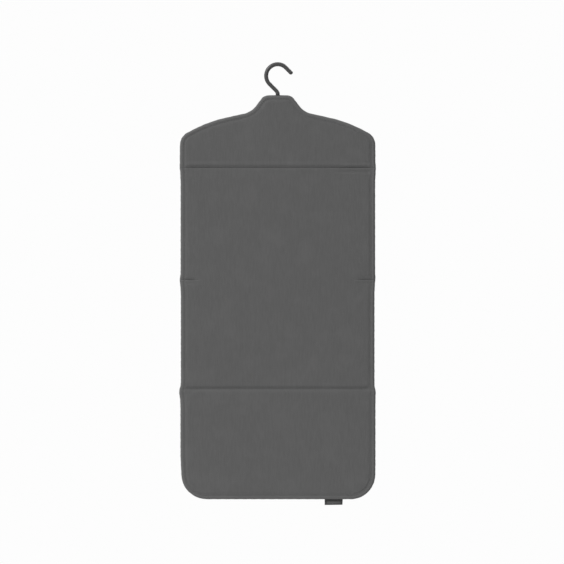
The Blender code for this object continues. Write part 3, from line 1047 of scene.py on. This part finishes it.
def hook_line(radius):
    """Centre line of the sleeve, from its tip round the bend to the neck, as (x, z) points."""
    centre = np.array((0.0, radius - HOOK_BEND))
    bend = arc(centre, HOOK_BEND, 45, 225, 73)
    tip = bend[0] + np.array((1, -1)) * math.sqrt(0.5) * HOOK_TIP
    corner = np.array((0.0, centre[1] - HOOK_BEND * math.sqrt(2)))
    reach = HOOK_FILLET * math.tan(math.radians(22.5))
    start = corner + np.array((-1, 1)) * math.sqrt(0.5) * reach
    turn = arc(np.array((-HOOK_FILLET, corner[1] - reach)), HOOK_FILLET, 45, 0, 13)
    end = np.array((0.0, TOP - SLEEVE_SINK))
    line = [tip] + straight(tip, bend[0], 6) + bend[1:]
    return np.array(line + straight(bend[-1], start, 10) + turn[1:] + straight(turn[-1], end, 8))


def tube_points(line, radii):
    """Rings of points round a line of (x, z) points, with its own radius at each."""
    points = []
    for (x, z), (out_x, out_z), radius in zip(line, outward_normals(line), radii):
        for m in range(SLEEVE_SIDES):
            angle = 2 * math.pi * m / SLEEVE_SIDES
            out, deep = math.cos(angle) * radius, math.sin(angle) * radius
            points.append((x + out_x * out, deep, z + out_z * out))
    return points


def make_hook():
    radius = (SLEEVE_BOX[1][1] - SLEEVE_BOX[0][1]) / 2
    line = hook_line(radius)
    forward = unit(line[0] - line[1])
    full, radii = [], []
    for step in range(DOME_STEPS):
        angle = math.radians(88) * (1 - step / DOME_STEPS)
        full.append(line[0] + forward * radius * math.sin(angle))
        radii.append(radius * math.cos(angle))
    full += list(line[:-2])
    radii += [radius] * (len(line) - 2)
    for height, share in HEM:
        full.append(line[-1] + np.array((0.0, height)))
        radii.append(radius * share)
    points = tube_points(np.array(full), radii)
    faces = bar_faces(len(full), SLEEVE_SIDES)
    made = new_piece("hook_sleeve_skin", points, faces, SLEEVE)
    settle_normals(made)
    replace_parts(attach(made, "hook"), "hook_sleeve")


make_hook()


# ---------------------------------------------------------------- label
LABEL_LAYER = 0.00034
LABEL_COLUMNS = 28
LABEL_ROWS = 16
LABEL_BEND_STEPS = 6
# Height over the label's lower end down to which its two layers are flat
LABEL_FOLD = 0.0004
# How the hanging label differs from flat at its lower end: narrowing, depth of its wave, how far
# forward it swings, and how far it tips sideways
LABEL_NARROWING = 0.0012
LABEL_WAVE = 0.0007
LABEL_SWING = 0.0008
LABEL_TIP = 0.0004


def make_label():
    """A woven label folded double, hanging from the back of the lower edge."""
    (x0, y0, z0), (x1, y1, z1) = LABEL_BOX
    front_y, back_y = y0 + LABEL_LAYER / 2, y1 - LABEL_LAYER / 2
    low = z0 + LABEL_FOLD
    down = np.linspace(0, 1, LABEL_ROWS + 1)
    section = [(front_y, z1 - (z1 - low) * share) for share in down]
    bend = (back_y - front_y) / 2
    for step in range(1, LABEL_BEND_STEPS):
        angle = math.pi * step / LABEL_BEND_STEPS
        section.append((front_y + bend * (1 - math.cos(angle)), low - bend * math.sin(angle)))
    section += [(back_y, low + (z1 - low) * share) for share in down]
    points = []
    for y, z in section:
        drop = (z1 - z) / (z1 - z0)
        for share in np.linspace(0, 1, LABEL_COLUMNS + 1):
            x = x0 + (x1 - x0 - drop * LABEL_NARROWING) * share
            forward = LABEL_WAVE * math.sin(math.pi * share * 1.3 + 0.4) + LABEL_SWING
            points.append((x, y - drop * forward, z + LABEL_TIP * drop * (share - 0.5)))
    width = LABEL_COLUMNS + 1
    faces = [
        (j * width + i, (j + 1) * width + i, (j + 1) * width + i + 1, j * width + i + 1)
        for j in range(len(section) - 1)
        for i in range(LABEL_COLUMNS)
    ]
    made = new_piece("label_folded", points, faces, LABEL)
    settle_normals(made)
    thicken(made, LABEL_LAYER, 0.0)
    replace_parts(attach(made, BODIES["lower"]), "label")


make_label()


# ---------------------------------------------------------------- CAD pieces that stay
def hardboard():
    made = Nodes("hardboard", 0.75, specular=0.3)
    made.colour(made.ramp(made.noise(500, 4.0), (0.3, (0.20, 0.13, 0.08)), (0.7, (0.36, 0.26, 0.17))))
    made.bump(made.noise(900, 3.0), 0.0001, 0.4)
    return made.material


def metal(name, level, roughness):
    made = Nodes(name, roughness, metallic=1.0)
    made.colour(made.ramp(made.noise(150, 3.0, (1, 1, 0.1)), (0.3, grey(level)), (0.7, grey(level * 1.2))))
    made.bump(made.noise(1800, 1.0, (1, 1, 0.05)), 0.00003, 0.3)
    return made.material


def block_plastic():
    made = Nodes("block_plastic", 0.5, specular=0.4)
    made.colour(made.ramp(made.noise(80, 2.0), (0.3, grey(0.07)), (0.7, grey(0.09))))
    made.bump(made.noise(1500, 2.0), 0.00005, 0.3)
    return made.material


def finish_cad():
    board = hardboard()
    steel = metal("rod_steel", 0.10, 0.35)
    alloy = metal("rivet_alloy", 0.6, 0.35)
    plastic = block_plastic()
    looks = {f"{name}_core": board for name in SECTIONS}
    looks.update(hook_rod=steel, hook_collar=steel, neck_block=plastic)
    looks.update(neck_rivet_left=alloy, neck_rivet_right=alloy)
    for node, look in looks.items():
        for slot in frame["nodes"][node].material_slots:
            slot.material = look


finish_cad()


# ---------------------------------------------------------------- camera, floor and light
SENSOR = 36.0
VIEW_WIDTH = 1.276
CAMERA_DISTANCE = 7.0
AIM = (0.0097, 0.0, -0.488)
FLOOR_Z = CAD_BOX[0][2] - 0.60
FLOOR_RADIUS = 1.5
# Shares of the floor's radius between which it fades
FADE = (0.45, 0.96)
FLOOR_GREY = 0.85
WHITE = 0.982
# The studio is white to the camera and lights the board with this share of it
FILL_LIGHT = 0.50
LIGHT_AIM = (0, 0, -0.5)


def make_camera():
    data = bpy.data.cameras.new("camera")
    data.sensor_width = SENSOR
    data.lens = SENSOR * CAMERA_DISTANCE / VIEW_WIDTH
    data.clip_end = 60.0
    camera = linked("camera", data)
    camera.location = (AIM[0], -CAMERA_DISTANCE, AIM[2])
    camera.rotation_euler = (math.radians(90), 0, 0)
    bpy.context.scene.camera = camera


def make_floor():
    """A pale floor well under the hanging board, fading into the studio's white."""
    shape = bmesh.new()
    bmesh.ops.create_circle(shape, cap_ends=True, segments=96, radius=FLOOR_RADIUS)
    mesh = bpy.data.meshes.new("floor")
    shape.to_mesh(mesh)
    shape.free()
    floor = linked("floor", mesh)
    floor.location = (0, 0, FLOOR_Z)
    made = Nodes("pale_floor", 0.9, specular=0.0)
    x, y, _ = made.coordinates()
    square = made.math("ADD", made.math("MULTIPLY", x, x), made.math("MULTIPLY", y, y))
    far = made.math("DIVIDE", made.math("SQRT", square), FLOOR_RADIUS)
    near_share, far_share = FADE
    made.colour(made.ramp(far, (near_share, grey(FLOOR_GREY)), (far_share, grey(0.0))))
    glow = made.ramp(far, (near_share, grey(0.0)), (far_share, grey(WHITE)))
    made.link(glow, made.shader.inputs["Emission Color"])
    made.shader.inputs["Emission Strength"].default_value = 1.0
    mesh.materials.append(made.material)


def area_light(name, location, size, power):
    data = bpy.data.lights.new(name, "AREA")
    data.shape = "DISK"
    data.size = size
    data.energy = power
    lamp = linked(name, data)
    lamp.location = location
    lamp.rotation_euler = (Vector(LIGHT_AIM) - Vector(location)).to_track_quat("-Z", "Y").to_euler()


def make_world():
    world = bpy.data.worlds.new("studio")
    world.use_nodes = True
    tree = world.node_tree
    background = tree.nodes["Background"]
    background.inputs["Color"].default_value = (WHITE, WHITE, WHITE, 1.0)
    background.inputs["Strength"].default_value = FILL_LIGHT
    seen = tree.nodes.new("ShaderNodeBackground")
    seen.inputs["Color"].default_value = (WHITE, WHITE, WHITE, 1.0)
    mix = tree.nodes.new("ShaderNodeMixShader")
    path = tree.nodes.new("ShaderNodeLightPath")
    tree.links.new(path.outputs["Is Camera Ray"], mix.inputs["Fac"])
    tree.links.new(background.outputs[0], mix.inputs[1])
    tree.links.new(seen.outputs[0], mix.inputs[2])
    tree.links.new(mix.outputs[0], tree.nodes["World Output"].inputs["Surface"])
    bpy.context.scene.world = world


make_camera()
make_floor()
make_world()
area_light("key", (-4.4, -3.8, 3.9), size=2.0, power=488)
area_light("back_key", (2.2, 2.4, 1.8), size=1.6, power=105)
bpy.context.scene.view_settings.view_transform = "Standard"
